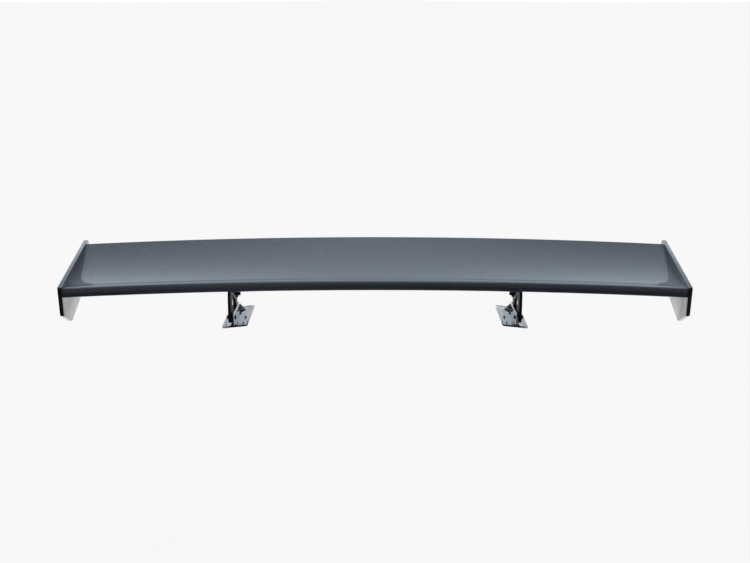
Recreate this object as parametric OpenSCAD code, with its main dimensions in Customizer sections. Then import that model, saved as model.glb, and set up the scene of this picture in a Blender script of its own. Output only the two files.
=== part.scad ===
/* [Overall] */
// overall width over the two endplates
span = 1600; // [1300:10:1960]
// height of the wing reference line above the boot lid
wing_h = 108; // [100:1:132]
// angle of attack the wing is set to
wing_angle = 12; // [9:0.5:14]
// distance between the middles of the two uprights
mount_spacing = 744; // [560:4:900]

/* [Wing] */
// chord of the main plane
chord = 288; // [250:2:346]
// how far the middle of the wing arches above its ends
arch_rise = 21; // [12:1:26]
// depth of the hollow in the upper face
camber = 22; // [16:1:27]
// radius of the leading edge
nose_r = 13; // [11:0.5:14]
// half thickness of the trailing edge
tail_half = 1.5; // [1.2:0.1:2]
// thickness of the carbon skins
skin_t = 2; // [1.2:0.1:2.4]

/* [Endplates] */
// thickness of an endplate
plate_t = 10; // [6:0.5:12]
// length of the endplate top edge
plate_len = 313; // [300:1:376]
// depth of the endplate at its front edge
plate_front = 80; // [66:1:96]
// depth of the endplate at its lowest point
plate_deep = 125; // [105:1:150]
// thread size of the endplate screws
plate_screw_d = 5; // [4:0.5:6]

/* [Uprights] */
// thickness of an upright
upright_t = 8; // [6.5:0.5:9.6]
// thickness of the wing bracket fin
fin_t = 4; // [3:0.5:5]
// diameter of the pivot and adjuster bolts
pivot_d = 6; // [5:0.5:7.5]
// wing travel down from the set angle
travel_down = 10; // [4:1:11]
// wing travel up from the set angle
travel_up = 4; // [1:1:5]

/* [Base brackets] */
// width of a base plate
base_w = 65; // [60:1:78]
// length of a base plate
base_len = 197; // [190:1:230]
// sideways slope of a base plate
base_roll = 6; // [3:0.5:8]
// thickness of the base plate
base_t = 3; // [2.5:0.5:4]
// thickness of the rubber pad under the base plate
pad_t = 1.6; // [1:0.1:2.5]
// thickness of the vertical flange
flange_t = 4; // [3:0.5:5]
// diameter of the holes for the boot lid screws
base_hole_d = 6.5; // [5.5:0.5:7]
// diameter of the bolts joining upright and flange
foot_bolt_d = 6; // [5:0.5:7]

/* [Hidden] */
// clearances and fits
bond = 0.1;
joint_gap = 0.4;
fin_gap = 0.6;
run_fit = 0.05;
slot_play = 0.35;
// fineness of round parts
round_fn = 64;
arch_steps = 16;
// wing section
nose_z = -10;
tail_z = -1;
taper_power = 1.6;
nose_steps = 7;
body_steps = 20;
skin_end = span / 2 - plate_t - bond;
spar_from = 0.17 * chord;
spar_to = 0.27 * chord;
spar_wall = 1.5;
tail_core_from = 0.80 * chord;
tail_core_to = 0.93 * chord;
rib_gap = skin_t + 0.3;
end_rib_t = 18;
mount_rib_t = 44;
inner_rib_t = 6;
// endplate outline in the wing frame
top_z = 6.5;
plate_front_y = -2;
low_y = 64;
// heads and inserts
socket_af = 0.55;
insert_wall = 1.5;
plate_screw_at = [0.12 * chord, 0.40 * chord, 0.66 * chord];
// upright station and side stack, measured outward from the car middle
upright_x = mount_spacing / 2 - upright_t / 2;
spacer_t = 2.5;
flange_x = upright_x - spacer_t - flange_t;
fin_x = upright_x - fin_gap - fin_t;
// upright outline
foot_z = 12;
foot_top = 30;
pivot_y = 76;
pivot_z = wing_h - 15.5;
lift = (pivot_z - foot_top) / 62.5;
head_r = 10.5;
slot_y = 156;
slot_z = foot_top + 30 * lift;
slot_dy = slot_y - pivot_y;
slot_dz = slot_z - pivot_z;
slot_r = sqrt(slot_dy * slot_dy + slot_dz * slot_dz);
slot_a = atan2(slot_dz, slot_dy);
ear_r = 11;
foot_bolt_at = [[57, 22], [166, 21]];
// base bracket
base_front = 26;
flange_len = 158;
flange_front_z = 41;
flange_back_z = 30;
gusset_w = 14;
gusset_z = 26;
base_out_x = mount_spacing / 2 + 20;
hole_rows = [12, 85, base_len - 17];
hole_cols = [-11, 12 - base_w];
// bracket on the wing underside
saddle_t = 4;
saddle_in = 30;
saddle_from = 44;
saddle_to = 196;
saddle_screw_first = spar_to + 16;
saddle_screw_last = saddle_to - 26;
saddle_screw_at = [saddle_screw_first, (saddle_screw_first + saddle_screw_last) / 2,
    saddle_screw_last];
saddle_screw_x = fin_x - 15;
saddle_screw_d = 6;
// where the middle of the whole part lies front to back
front_end = plate_front_y * cos(wing_angle) - (top_z - 3) * sin(wing_angle);
back_end = (plate_front_y + plate_len - 3) * cos(wing_angle)
    + (0.62 * plate_deep - top_z) * sin(wing_angle);
mid_y = (front_end + back_end) / 2;

// ---- wing section: a mean line with a thickness laid square to it ----

function mean_z(y) = nose_z + (tail_z - nose_z) * y / chord
    - 4 * camber * (y / chord) * (1 - y / chord);
function mean_a(y) = atan((tail_z - nose_z) / chord - 4 * camber / chord * (1 - 2 * y / chord));
function body_half(y) = tail_half
    + (nose_r - tail_half) * (1 - pow((y - nose_r) / (chord - nose_r), taper_power));
function half_at(y, inset) = y < nose_r
    ? sqrt(max(0, pow(nose_r - inset, 2) - pow(nose_r - y, 2)))
    : body_half(y) - inset;
function edge_point(y, side, inset) = let (h = max(bond, half_at(y, inset)), a = mean_a(y))
    [y - side * h * sin(a), mean_z(y) + side * h * cos(a)];
function nose_ys(inset) = [for (i = [0 : nose_steps - 1])
    nose_r - (nose_r - inset) * cos(90 * i / nose_steps)];
function body_ys(from, to) = [for (i = [0 : body_steps]) from + (to - from) * i / body_steps];
function edge_line(ys, side, inset) = [for (y = ys) edge_point(y, side, inset)];
function backwards(list) = [for (i = [len(list) - 1 : -1 : 0]) list[i]];
function full_ys(inset, to) = concat(nose_ys(inset), body_ys(nose_r, to));
function closed_section(inset, to) = concat(
    edge_line(full_ys(inset, to), 1, inset),
    backwards(edge_line(full_ys(inset, to), -1, inset)));
function band_section(inset, from, to) = concat(
    edge_line(body_ys(from, to), 1, inset),
    backwards(edge_line(body_ys(from, to), -1, inset)));
function skin_upper() = concat(
    edge_line(full_ys(0, chord), 1, 0),
    backwards(edge_line(full_ys(skin_t, chord), 1, skin_t)));
function skin_lower() = backwards(concat(
    edge_line(full_ys(0, chord), -1, 0),
    backwards(edge_line(full_ys(skin_t, chord), -1, skin_t))));
// everything from a given depth under the lower skin up to a level over the wing
function over_section(inset) = concat(
    [for (y = body_ys(saddle_from - 30, saddle_to + 40)) [y, 60]],
    backwards(edge_line(body_ys(saddle_from - 30, saddle_to + 40), -1, inset)));
function saddle_section() = concat(
    edge_line(body_ys(saddle_from, saddle_to), -1, -0.2),
    backwards(edge_line(body_ys(saddle_from, saddle_to), -1, -saddle_t)));
function spar_section(inset) = [
    [spar_from + inset, mean_z(spar_from) + 7 - inset],
    [spar_to - inset, mean_z(spar_to) + 7 - inset],
    [spar_to - inset, mean_z(spar_to) - 7 + inset],
    [spar_from + inset, mean_z(spar_from) - 7 + inset]];
function arch_z(x) = arch_rise * (1 - pow(x / skin_end, 2));

// loft a section [y, z] along X from x_from to x_to, lifted by the arch of the wing;
// the first half of the points runs out along one edge, the second half comes back along the other
module arched(points, x_from, x_to, steps) {
    n = len(points);
    last = steps * n;
    xs = [for (i = [0 : steps]) x_from + (x_to - x_from) * i / steps];
    strips = [for (j = [0 : n / 2 - 2]) [j, j + 1, n - 2 - j, n - 1 - j]];
    polyhedron(
        points = [for (x = xs) for (p = points) [x, p[0], p[1] + arch_z(x)]],
        faces = concat(
            [for (i = [0 : steps - 1]) for (j = [0 : n - 1])
                [i * n + j, i * n + (j + 1) % n, (i + 1) * n + (j + 1) % n, (i + 1) * n + j]],
            [for (q = strips) backwards(q)],
            [for (q = strips) [for (j = q) last + j]]),
        convexity = 6);
}

module mid_shift() {
    translate([0, -mid_y, 0])
        children();
}

module wing_frame() {
    mid_shift()
        translate([0, 0, wing_h])
            rotate([wing_angle, 0, 0])
                children();
}

module left() {
    mirror([1, 0, 0])
        children();
}

module both_sides() {
    children();
    left()
        children();
}

// ---- small hardware, all lying along +X from the given spot ----

module rod(d, length) {
    rotate([0, 90, 0])
        cylinder(d = d, h = length, $fn = round_fn);
}

module ring(d_out, d_in, length) {
    difference() {
        rod(d_out, length);
        translate([-1, 0, 0])
            rod(d_in, length + 2);
    }
}

module button_screw(d, length) {
    head_h = 0.55 * d;
    difference() {
        union() {
            rod(d, length);
            translate([-head_h, 0, 0])
                rotate([0, 90, 0])
                    rotate_extrude($fn = round_fn)
                        polygon([[0, 0], [0.55 * d, 0], [0.78 * d, 0.12 * d],
                            [0.9 * d, 0.35 * d], [0.9 * d, head_h], [0, head_h]]);
        }
        translate([-head_h - 1, 0, 0])
            rotate([0, 90, 0])
                cylinder(d = socket_af * d * 1.155, h = 1 + 0.32 * d, $fn = 6);
    }
}

module cap_screw(d, length) {
    difference() {
        union() {
            rod(d, length);
            translate([-d, 0, 0])
                rod(1.6 * d, d);
        }
        translate([-d - 1, 0, 0])
            rotate([0, 90, 0])
                cylinder(d = 0.8 * d * 1.155, h = 1 + 0.5 * d, $fn = 6);
    }
}

module hex_nut(d) {
    difference() {
        rotate([0, 90, 0])
            cylinder(d = 1.65 * d * 1.155, h = 0.8 * d, $fn = 6);
        translate([-1, 0, 0])
            rod(d + 2 * run_fit, 0.8 * d + 2);
    }
}

// ---- wing ----

module upper_skin() {
    color("#25262a")
        wing_frame()
            arched(skin_upper(), -skin_end, skin_end, arch_steps);
}

module lower_skin() {
    color("#1d1e21")
        wing_frame()
            difference() {
                arched(skin_lower(), -skin_end, skin_end, arch_steps);
                saddle_screw_cuts(saddle_screw_d + 1.4, 12);
            }
}

module spar_tube() {
    color("#a8abb0")
        wing_frame()
            difference() {
                arched(spar_section(0), -skin_end + 4, skin_end - 4, arch_steps);
                arched(spar_section(spar_wall), -skin_end, skin_end, arch_steps);
            }
}

module trailing_core() {
    color("#c9b98f")
        wing_frame()
            arched(band_section(rib_gap, tail_core_from, tail_core_to),
                -skin_end + end_rib_t + 1, skin_end - end_rib_t - 1, arch_steps);
}

module rib_block(x_from, x_to) {
    difference() {
        arched(closed_section(rib_gap, tail_core_from - 1), x_from, x_to, 1);
        arched(spar_section(-0.2), x_from - 1, x_to + 1, 1);
    }
}

module end_rib() {
    difference() {
        rib_block(skin_end - end_rib_t, skin_end - 0.4);
        for (y = plate_screw_at)
            translate([skin_end - end_rib_t - 1, y, mean_z(y)])
                rod(plate_screw_d + 2 * insert_wall + 2 * bond, end_rib_t + 2);
    }
}

module left_end_rib() {
    color("#b8b2a2")
        wing_frame()
            left()
                end_rib();
}

module right_end_rib() {
    color("#b8b2a2")
        wing_frame()
            end_rib();
}

module saddle_screw_cuts(d, sides) {
    both_sides()
        for (y = saddle_screw_at)
            translate([saddle_screw_x, y, -90])
                cylinder(d = d, h = 90 + mean_z(y) + arch_z(saddle_screw_x), $fn = sides);
}

module mount_rib() {
    difference() {
        rib_block(saddle_screw_x - mount_rib_t / 2, saddle_screw_x + mount_rib_t / 2);
        saddle_screw_cuts(saddle_screw_d + 2 * insert_wall + 2 * bond, round_fn);
    }
}

module left_mount_rib() {
    color("#9fa3a8")
        wing_frame()
            left()
                mount_rib();
}

module right_mount_rib() {
    color("#9fa3a8")
        wing_frame()
            mount_rib();
}

module inner_ribs() {
    color("#c9b98f")
        wing_frame()
            both_sides()
                for (f = [0.22, 0.73])
                    rib_block(f * skin_end, f * skin_end + inner_rib_t);
}

module end_inserts() {
    color("#c8a24a")
        wing_frame()
            both_sides()
                for (y = plate_screw_at)
                    translate([skin_end - end_rib_t, y, mean_z(y)])
                        ring(plate_screw_d + 2 * insert_wall, plate_screw_d + 2 * run_fit,
                            end_rib_t - 0.4);
}

function lower_z(y) = mean_z(y) - body_half(y) + arch_z(saddle_screw_x);

module mount_inserts() {
    color("#c8a24a")
        wing_frame()
            both_sides()
                for (y = saddle_screw_at)
                    translate([saddle_screw_x, y, lower_z(y) + skin_t + 2])
                        rotate([0, -90, 0])
                            ring(saddle_screw_d + 2 * insert_wall, saddle_screw_d + 2 * run_fit,
                                body_half(y) - skin_t - 3);
}

// ---- endplates ----

module endplate_slab() {
    corner = 12;
    back_y = plate_front_y + plate_len;
    difference() {
        translate([span / 2 - plate_t, 0, 0])
            rotate([90, 0, 90])
                linear_extrude(height = plate_t)
                    polygon([
                        [plate_front_y + 3, top_z],
                        [back_y - corner, top_z],
                        [back_y - corner * 0.5, top_z - corner * 0.134],
                        [back_y - corner * 0.134, top_z - corner * 0.5],
                        [back_y, top_z - corner],
                        [back_y - 3, top_z - 0.62 * plate_deep],
                        [back_y - 12, top_z - 0.68 * plate_deep],
                        [0.57 * chord, top_z - 0.87 * plate_deep],
                        [low_y + 14, top_z - 0.985 * plate_deep],
                        [low_y, top_z - plate_deep],
                        [low_y - 10, top_z - 0.975 * plate_deep],
                        [3, top_z - plate_front - 2],
                        [-3.5, top_z - plate_front + 1.5],
                        [-6, top_z - plate_front + 8],
                        [plate_front_y, top_z - 3]]);
        for (y = plate_screw_at)
            translate([span / 2 - plate_t - 1, y, mean_z(y)])
                rod(plate_screw_d + 2 * bond, plate_t + 2);
    }
}

module left_endplate() {
    color("#1b1c1e")
        wing_frame()
            left()
                endplate_slab();
}

module right_endplate() {
    color("#1b1c1e")
        wing_frame()
            endplate_slab();
}

module endplate_screws() {
    color("#3a3b3e")
        wing_frame()
            both_sides()
                for (y = plate_screw_at)
                    translate([span / 2 + 1, y, mean_z(y)])
                        mirror([1, 0, 0])
                            button_screw(plate_screw_d, plate_t + 14);
}

module endplate_washers() {
    color("#6f7276")
        wing_frame()
            both_sides()
                for (y = plate_screw_at)
                    translate([span / 2, y, mean_z(y)])
                        ring(2 * plate_screw_d + 2, plate_screw_d + 2 * bond, 1);
}

// ---- wing brackets, fixed under the wing and turning with it ----

module fin() {
    difference() {
        translate([fin_x, 0, 0])
            rotate([90, 0, 90])
                linear_extrude(height = fin_t)
                    polygon([
                        [pivot_y - 12, pivot_z - 3],
                        [pivot_y - 16, wing_h - 14],
                        [pivot_y - 16, wing_h + 20],
                        [slot_y + 50, wing_h + 50],
                        [slot_y + 50, wing_h + 16],
                        [slot_y + 32, wing_h],
                        [slot_y + 10, slot_z - 1],
                        [slot_y - 9, slot_z - 3],
                        [slot_y - 9, slot_z + 6],
                        [slot_y + 3, wing_h - 14],
                        [slot_y - 8, wing_h - 9],
                        [pivot_y + 26, wing_h - 12],
                        [pivot_y + 11.5, pivot_z + 3]]);
        tilted()
            arched(over_section(-saddle_t / 2), fin_x - 1, fin_x + fin_t + 1, 1);
    }
    translate([fin_x, pivot_y, pivot_z])
        rod(2 * pivot_d + 8, fin_t);
    translate([fin_x, slot_y, slot_z])
        rod(2 * pivot_d + 7, fin_t);
}

module tilted() {
    translate([0, 0, wing_h])
        rotate([wing_angle, 0, 0])
            children();
}

module wing_bracket() {
    difference() {
        union() {
            fin();
            tilted()
                arched(saddle_section(), fin_x - saddle_in, fin_x + fin_t - 0.5, 1);
        }
        translate([fin_x - 1, pivot_y, pivot_z])
            rod(pivot_d + 2 * run_fit, fin_t + 2);
        translate([fin_x - 1, slot_y, slot_z])
            rod(pivot_d + 2 * bond, fin_t + 2);
        tilted()
            for (y = saddle_screw_at) {
                translate([saddle_screw_x, y, -90])
                    cylinder(d = saddle_screw_d + 0.6, h = 110, $fn = round_fn);
                translate([saddle_screw_x, y, lower_z(y) - saddle_t - 29])
                    cylinder(d = 2.2 * saddle_screw_d, h = 30.5, $fn = round_fn);
            }
    }
}

module left_wing_bracket() {
    color("#2b2c2f")
        mid_shift()
            left()
                wing_bracket();
}

module right_wing_bracket() {
    color("#2b2c2f")
        mid_shift()
            wing_bracket();
}

module bracket_screws() {
    color("#3a3b3e")
        wing_frame()
            both_sides()
                for (y = saddle_screw_at)
                    translate([saddle_screw_x, y, lower_z(y) - saddle_t + 1.5])
                        rotate([0, -90, 0])
                            button_screw(saddle_screw_d, 10);
}

module adjuster_bolts() {
    color("#3a3b3e")
        mid_shift()
            both_sides()
                translate([fin_x, slot_y, slot_z])
                    cap_screw(pivot_d,
                        fin_t + fin_gap + upright_t + joint_gap + 1.6 + 0.8 * pivot_d + 2);
}

module adjuster_washers() {
    color("#6f7276")
        mid_shift()
            both_sides()
                translate([upright_x + upright_t + joint_gap, slot_y, slot_z])
                    ring(2 * pivot_d, pivot_d + 2 * bond, 1.6);
}

module adjuster_nuts() {
    color("#6f7276")
        mid_shift()
            both_sides()
                translate([upright_x + upright_t + joint_gap + 1.6, slot_y, slot_z])
                    hex_nut(pivot_d);
}

// ---- uprights ----

module upright() {
    difference() {
        union() {
            translate([upright_x, 0, 0])
                rotate([90, 0, 90])
                    linear_extrude(height = upright_t)
                        polygon([
                            [38, foot_z],
                            [33, 22],
                            [30.5, 33],
                            [30, up(78)],
                            [31.5, up(88)],
                            [35, up(93.5)],
                            [45, up(97)],
                            [60, up(100)],
                            [pivot_y - 4, up(102)],
                            [pivot_y + 6, up(101)],
                            [pivot_y + 10, up(94)],
                            [pivot_y + 11, up(86)],
                            [96, up(76)],
                            [118, up(63)],
                            [142, up(62)],
                            [150, up(70)],
                            [158, up(74)],
                            [165, up(71)],
                            [168, up(58)],
                            [171, 31],
                            [205, 24],
                            [208, 20],
                            [208, foot_z]]);
            translate([upright_x, pivot_y, pivot_z])
                rod(2 * head_r, upright_t);
            ear_end(travel_up, ear_r);
            ear_end(-travel_down, ear_r);
        }
        translate([upright_x - 1, pivot_y, pivot_z])
            rod(pivot_d + 2 * bond, upright_t + 2);
        translate([upright_x - 1, 0, 0])
            rotate([90, 0, 90])
                linear_extrude(height = upright_t + 2)
                    polygon([
                        [66, 34],
                        [64, up(60)],
                        [66, up(73)],
                        [72, up(78)],
                        [80, up(77)],
                        [92, up(68)],
                        [131, up(50)],
                        [137, up(40)],
                        [139, 29],
                        [72, 28]]);
        translate([upright_x - 1, 0, 0])
            rotate([90, 0, 90])
                linear_extrude(height = upright_t + 2)
                    polygon([
                        [42, 36],
                        [42, up(76)],
                        [48, up(86)],
                        [55, up(88)],
                        [54, up(70)],
                        [52, 35]]);
        adjuster_slot();
        for (p = foot_bolt_at)
            translate([upright_x - 1, p[0], p[1]])
                rod(foot_bolt_d + 2 * bond, upright_t + 2);
    }
}

function up(z) = foot_top + (z - foot_top) * lift;

module ear_end(q, r) {
    translate([upright_x, pivot_y, pivot_z])
        rotate([slot_a + q, 0, 0])
            translate([0, slot_r, 0])
                rod(2 * r, upright_t);
}

module adjuster_slot() {
    slot_w = pivot_d / 2 + slot_play;
    translate([upright_x - 1, pivot_y, pivot_z])
        rotate([slot_a - travel_down, 0, 0])
            rotate([90, 0, 90])
                rotate_extrude(angle = travel_down + travel_up, $fn = round_fn * 2)
                    translate([slot_r - slot_w, 0])
                        square([2 * slot_w, upright_t + 2]);
    for (q = [-travel_down, travel_up])
        translate([upright_x - 1, pivot_y, pivot_z])
            rotate([slot_a + q, 0, 0])
                translate([0, slot_r, 0])
                    rod(2 * slot_w + 0.6, upright_t + 2);
}

module left_upright() {
    color("#1a1a1c")
        mid_shift()
            left()
                upright();
}

module right_upright() {
    color("#1a1a1c")
        mid_shift()
            upright();
}

module pivot_bolts() {
    color("#3a3b3e")
        mid_shift()
            both_sides()
                translate([upright_x + upright_t + 1.6, pivot_y, pivot_z])
                    mirror([1, 0, 0])
                        cap_screw(pivot_d,
                            1.6 + upright_t + fin_gap + fin_t + joint_gap + 0.8 * pivot_d + 2);
}

module pivot_washers() {
    color("#6f7276")
        mid_shift()
            both_sides()
                translate([upright_x + upright_t, pivot_y, pivot_z])
                    ring(2 * pivot_d, pivot_d + 2 * bond, 1.6);
}

module pivot_nuts() {
    color("#6f7276")
        mid_shift()
            both_sides()
                translate([fin_x - joint_gap - 0.8 * pivot_d, pivot_y, pivot_z])
                    hex_nut(pivot_d);
}

// ---- base brackets ----

// height of the plate top above the boot lid at a side position
function plate_top_z(x) = (base_out_x - x) * tan(base_roll) + (pad_t + base_t) / cos(base_roll);

module base_frame() {
    translate([base_out_x, base_front, 0])
        rotate([0, base_roll, 0])
            children();
}

module base_slab(z_from, thick) {
    corner = 7;
    base_frame()
        difference() {
            union() {
                translate([-base_w, corner, z_from])
                    cube([base_w, base_len - 2 * corner, thick]);
                translate([-base_w + corner, 0, z_from])
                    cube([base_w - 2 * corner, base_len, thick]);
                for (x = [-corner, corner - base_w])
                    for (y = [corner, base_len - corner])
                        translate([x, y, z_from])
                            cylinder(r = corner - 0.02, h = thick, $fn = round_fn);
            }
            for (x = hole_cols)
                for (y = hole_rows)
                    translate([x, y, z_from - 1])
                        cylinder(d = base_hole_d, h = thick + 2, $fn = round_fn);
        }
}

module base_bracket() {
    sunk = 0.5 * base_t;
    difference() {
        union() {
            base_slab(pad_t, base_t);
            translate([flange_x, 0, 0])
                rotate([90, 0, 90])
                    linear_extrude(height = flange_t)
                        polygon([
                            [base_front + 1, plate_top_z(flange_x) - sunk],
                            [base_front + 1, flange_front_z - 4],
                            [base_front + 5, flange_front_z],
                            [base_front + flange_len, flange_back_z],
                            [base_front + flange_len, plate_top_z(flange_x) - sunk]]);
            translate([0, base_front + flange_len, 0])
                rotate([90, 0, 0])
                    linear_extrude(height = flange_t)
                        polygon([
                            [flange_x + 1, plate_top_z(flange_x) - sunk],
                            [flange_x - gusset_w, plate_top_z(flange_x - gusset_w) - sunk],
                            [flange_x - gusset_w, plate_top_z(flange_x - gusset_w) + 1],
                            [flange_x + 0.5, gusset_z],
                            [flange_x + 1, gusset_z]]);
        }
        for (p = foot_bolt_at)
            translate([flange_x - 1, p[0], p[1]])
                rod(foot_bolt_d + 2 * bond, flange_t + 2);
    }
}

module left_base_bracket() {
    color("#202123")
        mid_shift()
            left()
                base_bracket();
}

module right_base_bracket() {
    color("#202123")
        mid_shift()
            base_bracket();
}

module left_base_pad() {
    color("#141414")
        mid_shift()
            left()
                base_slab(0, pad_t - 0.02);
}

module right_base_pad() {
    color("#141414")
        mid_shift()
            base_slab(0, pad_t - 0.02);
}

module at_foot_bolts(x) {
    mid_shift()
        both_sides()
            for (p = foot_bolt_at)
                translate([x, p[0], p[1]])
                    children();
}

module foot_bolts() {
    color("#3a3b3e")
        at_foot_bolts(flange_x)
            button_screw(foot_bolt_d,
                flange_t + spacer_t + upright_t + 1.2 + 0.8 * foot_bolt_d + 1.5);
}

module foot_spacers() {
    color("#6f7276")
        at_foot_bolts(flange_x + flange_t)
            ring(2 * foot_bolt_d, foot_bolt_d + 2 * bond, spacer_t);
}

module foot_washers() {
    color("#6f7276")
        at_foot_bolts(upright_x + upright_t)
            ring(2 * foot_bolt_d, foot_bolt_d + 2 * bond, 1.2);
}

module foot_nuts() {
    color("#6f7276")
        at_foot_bolts(upright_x + upright_t + 1.2)
            hex_nut(foot_bolt_d);
}

// ---- drawing ----

upper_skin();
lower_skin();
spar_tube();
trailing_core();
left_end_rib();
right_end_rib();
left_mount_rib();
right_mount_rib();
inner_ribs();
end_inserts();
mount_inserts();
left_endplate();
right_endplate();
endplate_screws();
endplate_washers();
left_wing_bracket();
right_wing_bracket();
bracket_screws();
adjuster_bolts();
adjuster_washers();
adjuster_nuts();
left_upright();
right_upright();
pivot_bolts();
pivot_washers();
pivot_nuts();
left_base_bracket();
right_base_bracket();
left_base_pad();
right_base_pad();
foot_bolts();
foot_spacers();
foot_washers();
foot_nuts();
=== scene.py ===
import math

import bpy
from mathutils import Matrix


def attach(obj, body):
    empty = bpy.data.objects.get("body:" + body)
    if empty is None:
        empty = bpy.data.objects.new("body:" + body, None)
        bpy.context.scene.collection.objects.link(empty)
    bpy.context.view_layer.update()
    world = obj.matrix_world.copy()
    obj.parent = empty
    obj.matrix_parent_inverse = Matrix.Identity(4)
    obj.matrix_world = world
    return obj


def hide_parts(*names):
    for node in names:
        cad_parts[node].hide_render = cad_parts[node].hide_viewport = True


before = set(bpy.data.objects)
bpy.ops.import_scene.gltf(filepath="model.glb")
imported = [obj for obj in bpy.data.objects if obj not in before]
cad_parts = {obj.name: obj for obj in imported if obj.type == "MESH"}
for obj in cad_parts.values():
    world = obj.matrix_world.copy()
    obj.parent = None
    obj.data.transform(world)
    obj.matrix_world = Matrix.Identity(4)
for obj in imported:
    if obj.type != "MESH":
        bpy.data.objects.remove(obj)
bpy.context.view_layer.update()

# ---- camera: someone standing straight in front of the wing and looking a little down ----
# The eye is about three metres away and the lens is a short telephoto, so the far ends of the
# wing close in only slightly.
bpy.ops.object.camera_add(location=(0, -3.0232, 0.8185), rotation=(math.radians(76.5), 0, 0))
eye = bpy.context.object
eye.name = "studio_camera"
eye.data.lens = 56.26
eye.data.sensor_width = 36
bpy.context.scene.camera = eye
bpy.context.scene.view_settings.view_transform = "Standard"

# ---- spar tube: bare extruded aluminium box tube that runs the whole width inside the wing ----
# It carries the load from the two brackets out to the ends. Mill finish, with fine drawing lines
# along its length and a few duller patches where it was handled and bonded.


class Val:
    """One output of a material's nodes; arithmetic on it adds Math nodes."""

    def __init__(self, tree, out):
        self.tree, self.out = tree, out

    def node(self, kind, settings=(), pick=0, **inputs):
        made = self.tree.nodes.new(kind)
        for name, value in dict(settings).items():
            if name == "stops":
                ramp = made.color_ramp.elements
                while len(ramp) < len(value):
                    ramp.new(0.5)
                for stop, (place, level) in zip(ramp, value):
                    stop.position, stop.color = place, (level, level, level, 1)
            else:
                setattr(made, name, value)
        for name, value in inputs.items():
            place = made.inputs[int(name[1:]) if name[1:].isdigit() else name.replace("_", " ")]
            if isinstance(value, Val):
                self.tree.links.new(value.out, place)
            else:
                place.default_value = value
        return Val(self.tree, made.outputs[pick])

    def math(self, operation, a, b=0.0, c=0.0):
        return self.node("ShaderNodeMath", {"operation": operation}, i0=a, i1=b, i2=c)

    def __add__(self, other):
        return self.math("ADD", self, other)

    def __sub__(self, other):
        return self.math("SUBTRACT", self, other)

    def __rsub__(self, other):
        return self.math("SUBTRACT", other, self)

    def __mul__(self, other):
        return self.math("MULTIPLY", self, other)

    def __truediv__(self, other):
        return self.math("DIVIDE", self, other)

    def __lt__(self, other):
        return self.math("LESS_THAN", self, other)

    __radd__, __rmul__ = __add__, __mul__

    def part(self, axis):
        return self.node("ShaderNodeSeparateXYZ", pick="XYZ".index(axis), i0=self)

    def stretch(self, x, y, z):
        return self.node("ShaderNodeMapping", i0=self, Scale=(x, y, z))

    def noise(self, scale, detail=3.0, roughness=0.5):
        return self.node("ShaderNodeTexNoise", i0=self, Scale=scale, Detail=detail,
                         Roughness=roughness)

    def ramp(self, low, high, level_low=0.0, level_high=1.0):
        return self.node("ShaderNodeMapRange", {"interpolation_type": "SMOOTHSTEP"}, i0=self,
                         i1=low, i2=high, i3=level_low, i4=level_high)

    def tint(self, dark, light):
        return self.node("ShaderNodeMix", {"data_type": "RGBA"}, pick=2, i0=self,
                         i6=dark + (1,), i7=light + (1,))


class Finish:
    """A material on Object coordinates, with one Principled shader to set or feed."""

    def __init__(self, name, **settings):
        self.material = bpy.data.materials.new(name)
        self.material.use_nodes = True
        self.tree = self.material.node_tree
        self.shader = self.tree.nodes["Principled BSDF"]
        self.at = Val(self.tree, self.tree.nodes.new("ShaderNodeTexCoord").outputs["Object"])
        self.feed(**settings)

    def feed(self, **sockets):
        for name, value in sockets.items():
            place = self.shader.inputs[name.replace("_", " ")]
            if isinstance(value, Val):
                self.tree.links.new(value.out, place)
            else:
                place.default_value = value

    def bump(self, height, distance, strength=1.0):
        raised = height.node("ShaderNodeBump", Height=height, Distance=distance, Strength=strength)
        self.feed(Normal=raised)

    def give(self, *pieces):
        for piece in pieces:
            piece.data.materials.clear()
            piece.data.materials.append(self.material)


def only(piece):
    bpy.ops.object.select_all(action="DESELECT")
    piece.select_set(True)
    bpy.context.view_layer.objects.active = piece


def finished(node, body, edge=0.0, rounds=2, crease=30):
    """A merged copy of a CAD node, with softened edges if edge is set; it stands for the node."""
    piece = bpy.data.objects.new(node + "_finished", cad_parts[node].data.copy())
    bpy.context.scene.collection.objects.link(piece)
    only(piece)
    bpy.ops.object.mode_set(mode="EDIT")
    bpy.ops.mesh.select_all(action="SELECT")
    bpy.ops.mesh.remove_doubles(threshold=2e-6)
    bpy.ops.mesh.dissolve_limited(angle_limit=math.radians(0.2))
    bpy.ops.object.mode_set(mode="OBJECT")
    if edge:
        soft = piece.modifiers.new("soft_edges", "BEVEL")
        soft.width, soft.segments = edge, rounds
        soft.limit_method, soft.angle_limit = "ANGLE", math.radians(crease)
        bpy.ops.object.modifier_apply(modifier=soft.name)
    bpy.ops.object.shade_smooth_by_angle(angle=math.radians(crease))
    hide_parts(node)
    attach(piece, body)
    return piece


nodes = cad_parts
aluminium = Finish("drawn_aluminium", Metallic=1.0)
drawn = aluminium.at.stretch(3, 900, 900).noise(1.0, 4.0, 0.6)
handled = aluminium.at.noise(9.0)
aluminium.feed(Base_Color=handled.tint((0.52, 0.53, 0.55), (0.66, 0.67, 0.69)),
               Roughness=drawn.ramp(0.3, 0.7, 0.28, 0.48))
aluminium.bump(drawn, 0.00005)
aluminium.give(nodes["spar_tube"], nodes["left_mount_rib"], nodes["right_mount_rib"])

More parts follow.
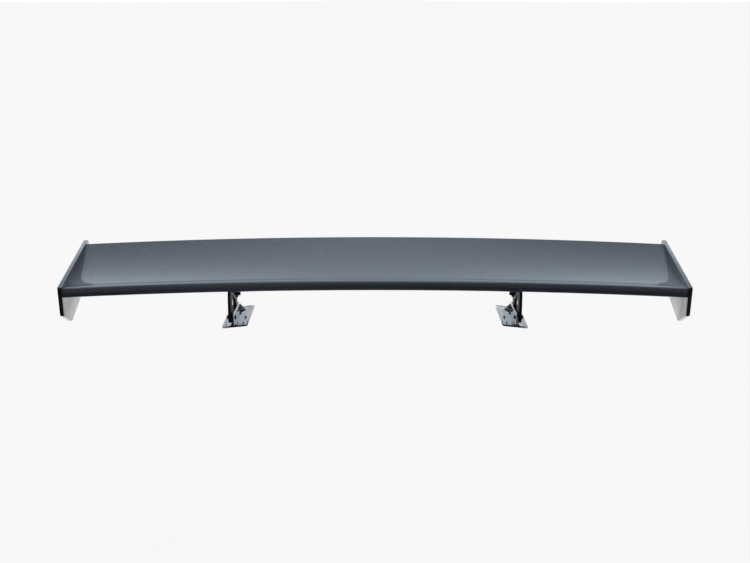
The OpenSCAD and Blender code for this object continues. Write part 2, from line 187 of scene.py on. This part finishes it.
# ---- ribs and trailing edge core: closed cell structural foam, cut to the wing section ----
# The end ribs close the wing where the endplates screw on. The light inner ribs and the long
# trailing core keep the thin skins apart and are glued to both of them.
foam = Finish("structural_foam")
cells = foam.at.node("ShaderNodeTexVoronoi", Vector=foam.at, Scale=1400.0)
foam.feed(Base_Color=foam.at.noise(60.0).tint((0.55, 0.47, 0.30), (0.72, 0.65, 0.46)),
          Roughness=cells.ramp(0.0, 0.6, 0.95, 0.75))
foam.bump(cells, 0.0003)
foam.give(nodes["inner_ribs"], nodes["trailing_core"], nodes["left_end_rib"],
          nodes["right_end_rib"])

# ---- threaded inserts: turned brass bushes bonded into the ribs ----
# Six take the endplate screws and six take the screws of the wing brackets.
brass = Finish("turned_brass", Metallic=1.0)
turned = brass.at.stretch(2600, 200, 200).noise(1.0, 2.0)
brass.feed(Base_Color=turned.tint((0.50, 0.34, 0.10), (0.74, 0.54, 0.22)),
           Roughness=turned.ramp(0.3, 0.7, 0.2, 0.36))
brass.give(nodes["end_inserts"], nodes["mount_inserts"])

# ---- wing skins: carbon fibre in 2 x 2 twill under a thick, polished clear coat ----
# An upper and a lower half shell, moulded apart and bonded along the nose and the tail. The cloth
# is laid with its tows along and across the wing and wraps round the nose in one piece.
wing_h = 0.108
wing_tilt = math.radians(12)
mid_y = 0.1566736
arch_rise = 0.021
skin_end = 0.7899
nose_r = 0.013
nose_z = -0.01274
camber_bend = 1.06
camber_slope = 0.264
tow = 0.00165
twill_repeat = 4.0
over_tows = 2.0

carbon = Finish("carbon_twill_clear_coat", Coat_Weight=1.0, Coat_Roughness=0.03,
                Specular_IOR_Level=0.05)
x = carbon.at.part("X")
level_y = carbon.at.part("Y") + mid_y
level_z = carbon.at.part("Z") - wing_h
chord_y = level_y * math.cos(wing_tilt) + level_z * math.sin(wing_tilt)
arch = arch_rise - x * x * (arch_rise / skin_end ** 2)
section_z = level_z * math.cos(wing_tilt) - level_y * math.sin(wing_tilt) - arch
around = x.math("ARCTAN2", nose_r - chord_y, section_z - nose_z)
on_nose = chord_y < nose_r
from_nose = chord_y - nose_r
mean_line = nose_z + from_nose * (from_nose * camber_bend - camber_slope)
below = section_z < mean_line
flat_run = from_nose * (1 - 2 * below) - below * (math.pi * nose_r)
run = on_nose * (around * -nose_r) + (1 - on_nose) * flat_run
across = x / tow
along = run / tow
step = across.math("FLOOR", across) + along.math("FLOOR", along)
warp_up = step.math("FLOORED_MODULO", step, twill_repeat) < over_tows
across_in = across.math("FRACT", across)
along_in = along.math("FRACT", along)
hump_across = across_in * (1 - across_in) * 4
hump_along = along_in * (1 - along_in) * 4
tow_hump = warp_up * hump_across + (1 - warp_up) * hump_along
fibres = warp_up * carbon.at.stretch(9000, 300, 300).noise(1.0, 2.0) \
    + (1 - warp_up) * carbon.at.stretch(300, 9000, 9000).noise(1.0, 2.0)
# Painted sheen and shade: the twill pattern is real, but the tows lying one way are painted bright
# and those lying the other way near black, standing in for the sheen of the fibres, and each tow
# is painted lighter on its crown and darker at its sides as painted shade; the fibre streaks vary
# the tone further.
painted_sheen_and_shade = (warp_up * 0.9 + 0.03) * (0.6 + tow_hump * 0.4) * (0.75 + fibres * 0.5)
carbon.feed(Base_Color=painted_sheen_and_shade.tint((0.002, 0.0022, 0.0027), (0.185, 0.212, 0.255)),
            Roughness=fibres.ramp(0.3, 0.7, 0.34, 0.5))
carbon.bump(tow_hump, 0.00006)
carbon.give(finished("lower_skin", "wing", crease=25),
            finished("upper_skin", "wing", crease=25))

# ---- endplates: ten millimetre plates, moulded and painted gloss black ----
# Each closes one end of the wing and reaches well below it. All edges are rounded by the mould,
# and three button head screws with washers hold the plate to the end rib.
endplate_black = Finish("endplate_gloss_black", Coat_Weight=1.0, Coat_Roughness=0.04)
peel = endplate_black.at.noise(420.0, 2.0)
dust = endplate_black.at.noise(26.0, 5.0, 0.7)
endplate_black.feed(Base_Color=dust.tint((0.010, 0.010, 0.011), (0.022, 0.022, 0.024)),
                    Roughness=dust.ramp(0.35, 0.7, 0.26, 0.38))
endplate_black.bump(peel, 0.00003)
endplate_black.give(finished("left_endplate", "wing", 0.0014, 3),
                    finished("right_endplate", "wing", 0.0014, 3))

black_steel = Finish("black_oxide_steel", Metallic=0.85)
blotch = black_steel.at.noise(160.0, 4.0)
black_steel.feed(Base_Color=blotch.tint((0.035, 0.035, 0.038), (0.085, 0.085, 0.09)),
                 Roughness=blotch.ramp(0.3, 0.7, 0.30, 0.46))
black_steel.bump(black_steel.at.noise(1500.0), 0.00002)
plated_steel = Finish("zinc_plated_steel", Metallic=1.0)
zinc = plated_steel.at.noise(240.0, 4.0)
plated_steel.feed(Base_Color=zinc.tint((0.50, 0.50, 0.52), (0.68, 0.68, 0.70)),
                  Roughness=zinc.ramp(0.3, 0.7, 0.22, 0.36))
plated_steel.bump(plated_steel.at.noise(1100.0), 0.00002)
black_steel.give(finished("endplate_screws", "wing", 0.0002))
plated_steel.give(finished("endplate_washers", "wing", 0.0001))

# ---- wing brackets: laser cut steel fins welded to curved saddles, powder coated black ----
# Three screws go up through each saddle into the mount rib. The fin hangs on the pivot bolt and
# the adjuster bolt, and turns with the wing.
black_coat = Finish("black_powder_coat", Coat_Weight=0.08, Coat_Roughness=0.12,
                    Specular_IOR_Level=0.2)
grain = black_coat.at.noise(900.0, 2.0)
worn = black_coat.at.noise(38.0, 4.0, 0.65)
black_coat.feed(Base_Color=worn.tint((0.009, 0.009, 0.010), (0.020, 0.020, 0.022)),
                Roughness=worn.ramp(0.3, 0.75, 0.40, 0.55))
black_coat.bump(grain, 0.00004)
black_coat.give(finished("left_wing_bracket", "wing", 0.0004),
                finished("right_wing_bracket", "wing", 0.0004))
black_steel.give(finished("bracket_screws", "wing", 0.0002),
                 finished("adjuster_bolts", "wing", 0.0003))
plated_steel.give(finished("adjuster_washers", "wing", 0.0001),
                  finished("adjuster_nuts", "wing", 0.0003))

# ---- uprights: eight millimetre plates cut to shape and powder coated black ----
# Each stands on its base bracket, carries the pivot bolt at its head and has an arc slot for the
# adjuster bolt at its rear arm.
black_coat.give(finished("left_upright", "mounts", 0.0006),
                finished("right_upright", "mounts", 0.0006))
black_steel.give(finished("pivot_bolts", "mounts", 0.0003))
plated_steel.give(finished("pivot_washers", "mounts", 0.0001),
                  finished("pivot_nuts", "mounts", 0.0003))

# ---- base brackets: folded and welded steel, powder coated gloss black, on rubber pads ----
# The sloping plate follows the boot lid and is screwed to it through six holes. The upright is
# bolted to the flange through two spacers.
gloss_coat = Finish("gloss_powder_coat", Coat_Weight=1.0, Coat_Roughness=0.03, Coat_IOR=2.6,
                    IOR=2.2)
wave = gloss_coat.at.noise(300.0, 2.0)
scuff = gloss_coat.at.noise(50.0, 5.0, 0.7)
gloss_coat.feed(Base_Color=scuff.tint((0.020, 0.020, 0.022), (0.036, 0.036, 0.039)),
                Roughness=scuff.ramp(0.3, 0.75, 0.12, 0.20))
gloss_coat.bump(wave, 0.00002)
gloss_coat.give(finished("left_base_bracket", "mounts", 0.0005),
                finished("right_base_bracket", "mounts", 0.0005))
rubber = Finish("pad_rubber")
skin = rubber.at.noise(700.0, 3.0)
rubber.feed(Base_Color=rubber.at.noise(45.0).tint((0.012, 0.012, 0.012), (0.028, 0.028, 0.028)),
            Roughness=skin.ramp(0.3, 0.7, 0.62, 0.85))
rubber.bump(skin, 0.00008)
rubber.give(finished("left_base_pad", "mounts", 0.0002),
            finished("right_base_pad", "mounts", 0.0002))
black_steel.give(finished("foot_bolts", "mounts", 0.0002))
plated_steel.give(finished("foot_spacers", "mounts", 0.0001),
                  finished("foot_washers", "mounts", 0.0001),
                  finished("foot_nuts", "mounts", 0.0002))

# ---- studio: a seamless pale floor under a bright tent, darker behind the camera ----
# The tent grows brighter towards its top in the middle and towards the floor at the sides. The
# floor glows and reflects little, so that shadows stay faint. The flag keeps the nose dark.
bpy.ops.object.select_all(action="DESELECT")
bpy.ops.mesh.primitive_plane_add(size=3000, location=(0, 0, -0.0003))
floor = bpy.context.object
floor.name = "studio_floor"
pale = Finish("pale_paper", Emission_Strength=0.938)
mottle = pale.at.noise(0.8)
pale.feed(Base_Color=mottle.tint((0.006, 0.006, 0.006), (0.009, 0.009, 0.009)),
          Emission_Color=mottle.tint((0.988, 0.988, 0.988), (1.0, 1.0, 1.0)), Roughness=0.9,
          Specular_IOR_Level=0.0)
pale.give(floor)

bpy.ops.object.select_all(action="DESELECT")
flag_width = 4.4
flag_depth = 3.81
flag_rear_y = -0.09
bpy.ops.mesh.primitive_plane_add(size=1, location=(0, flag_rear_y - flag_depth / 2, 0.004))
flag = bpy.context.object
flag.name = "black_flag"
flag.scale = (flag_width, flag_depth, 1)
velvet = Finish("flag_velvet", Roughness=1.0, Specular_IOR_Level=0.0)
velvet.feed(Base_Color=velvet.at.noise(40.0).tint((0.010, 0.010, 0.010), (0.014, 0.014, 0.014)))
velvet.give(flag)
flag.visible_camera = flag.visible_shadow = False

tent = bpy.data.worlds.new("studio_tent")
bpy.context.scene.world = tent
tent.use_nodes = True
sky = Val(tent.node_tree, tent.node_tree.nodes.new("ShaderNodeTexCoord").outputs["Generated"])
height = sky.part("Z")
behind_wing = sky.part("Y").ramp(0.0, 0.24)
back_light = height.node("ShaderNodeValToRGB", {"stops": [
    (0.0, 0.93), (0.02, 0.42), (0.12, 0.42), (0.25, 0.54), (0.45, 0.76), (0.65, 1.02), (0.85, 1.4),
    (1.0, 1.7)]},
    i0=height)
front_light = height.node("ShaderNodeValToRGB", {"stops": [
    (0.0, 0.12), (0.35, 0.13), (0.60, 0.16), (0.80, 0.22), (1.0, 0.35)]}, i0=height)
light = behind_wing.node("ShaderNodeMix", {"data_type": "RGBA"}, pick=2, i0=behind_wing,
                         i6=front_light, i7=back_light)
light = light.node("ShaderNodeMix", {"data_type": "RGBA", "blend_type": "MULTIPLY"},
                   pick=2, i0=height.ramp(0.04, 0.3), i6=light, i7=(0.88, 1.0, 1.14, 1))
aside = sky.part("X").math("ABSOLUTE", sky.part("X")).ramp(0.0, 0.3)
gain = aside * (1.0 - height * 1.6) + 1
backdrop = tent.node_tree.nodes["Background"]
tent.node_tree.links.new(light.out, backdrop.inputs["Color"])
tent.node_tree.links.new(gain.out, backdrop.inputs["Strength"])

softbox_x, softbox_y, softbox_z = 0.6, 0.9, 2.6
bpy.ops.object.light_add(type="AREA", location=(softbox_x, softbox_y, softbox_z))
softbox = bpy.context.object
softbox.name = "overhead_softbox"
softbox.data.shape = "RECTANGLE"
softbox.data.size, softbox.data.size_y = 2.6, 1.6
softbox.data.energy = 8
softbox.visible_glossy = False
softbox.rotation_euler = (-math.atan2(softbox_y, softbox_z), math.atan2(softbox_x, softbox_z), 0)
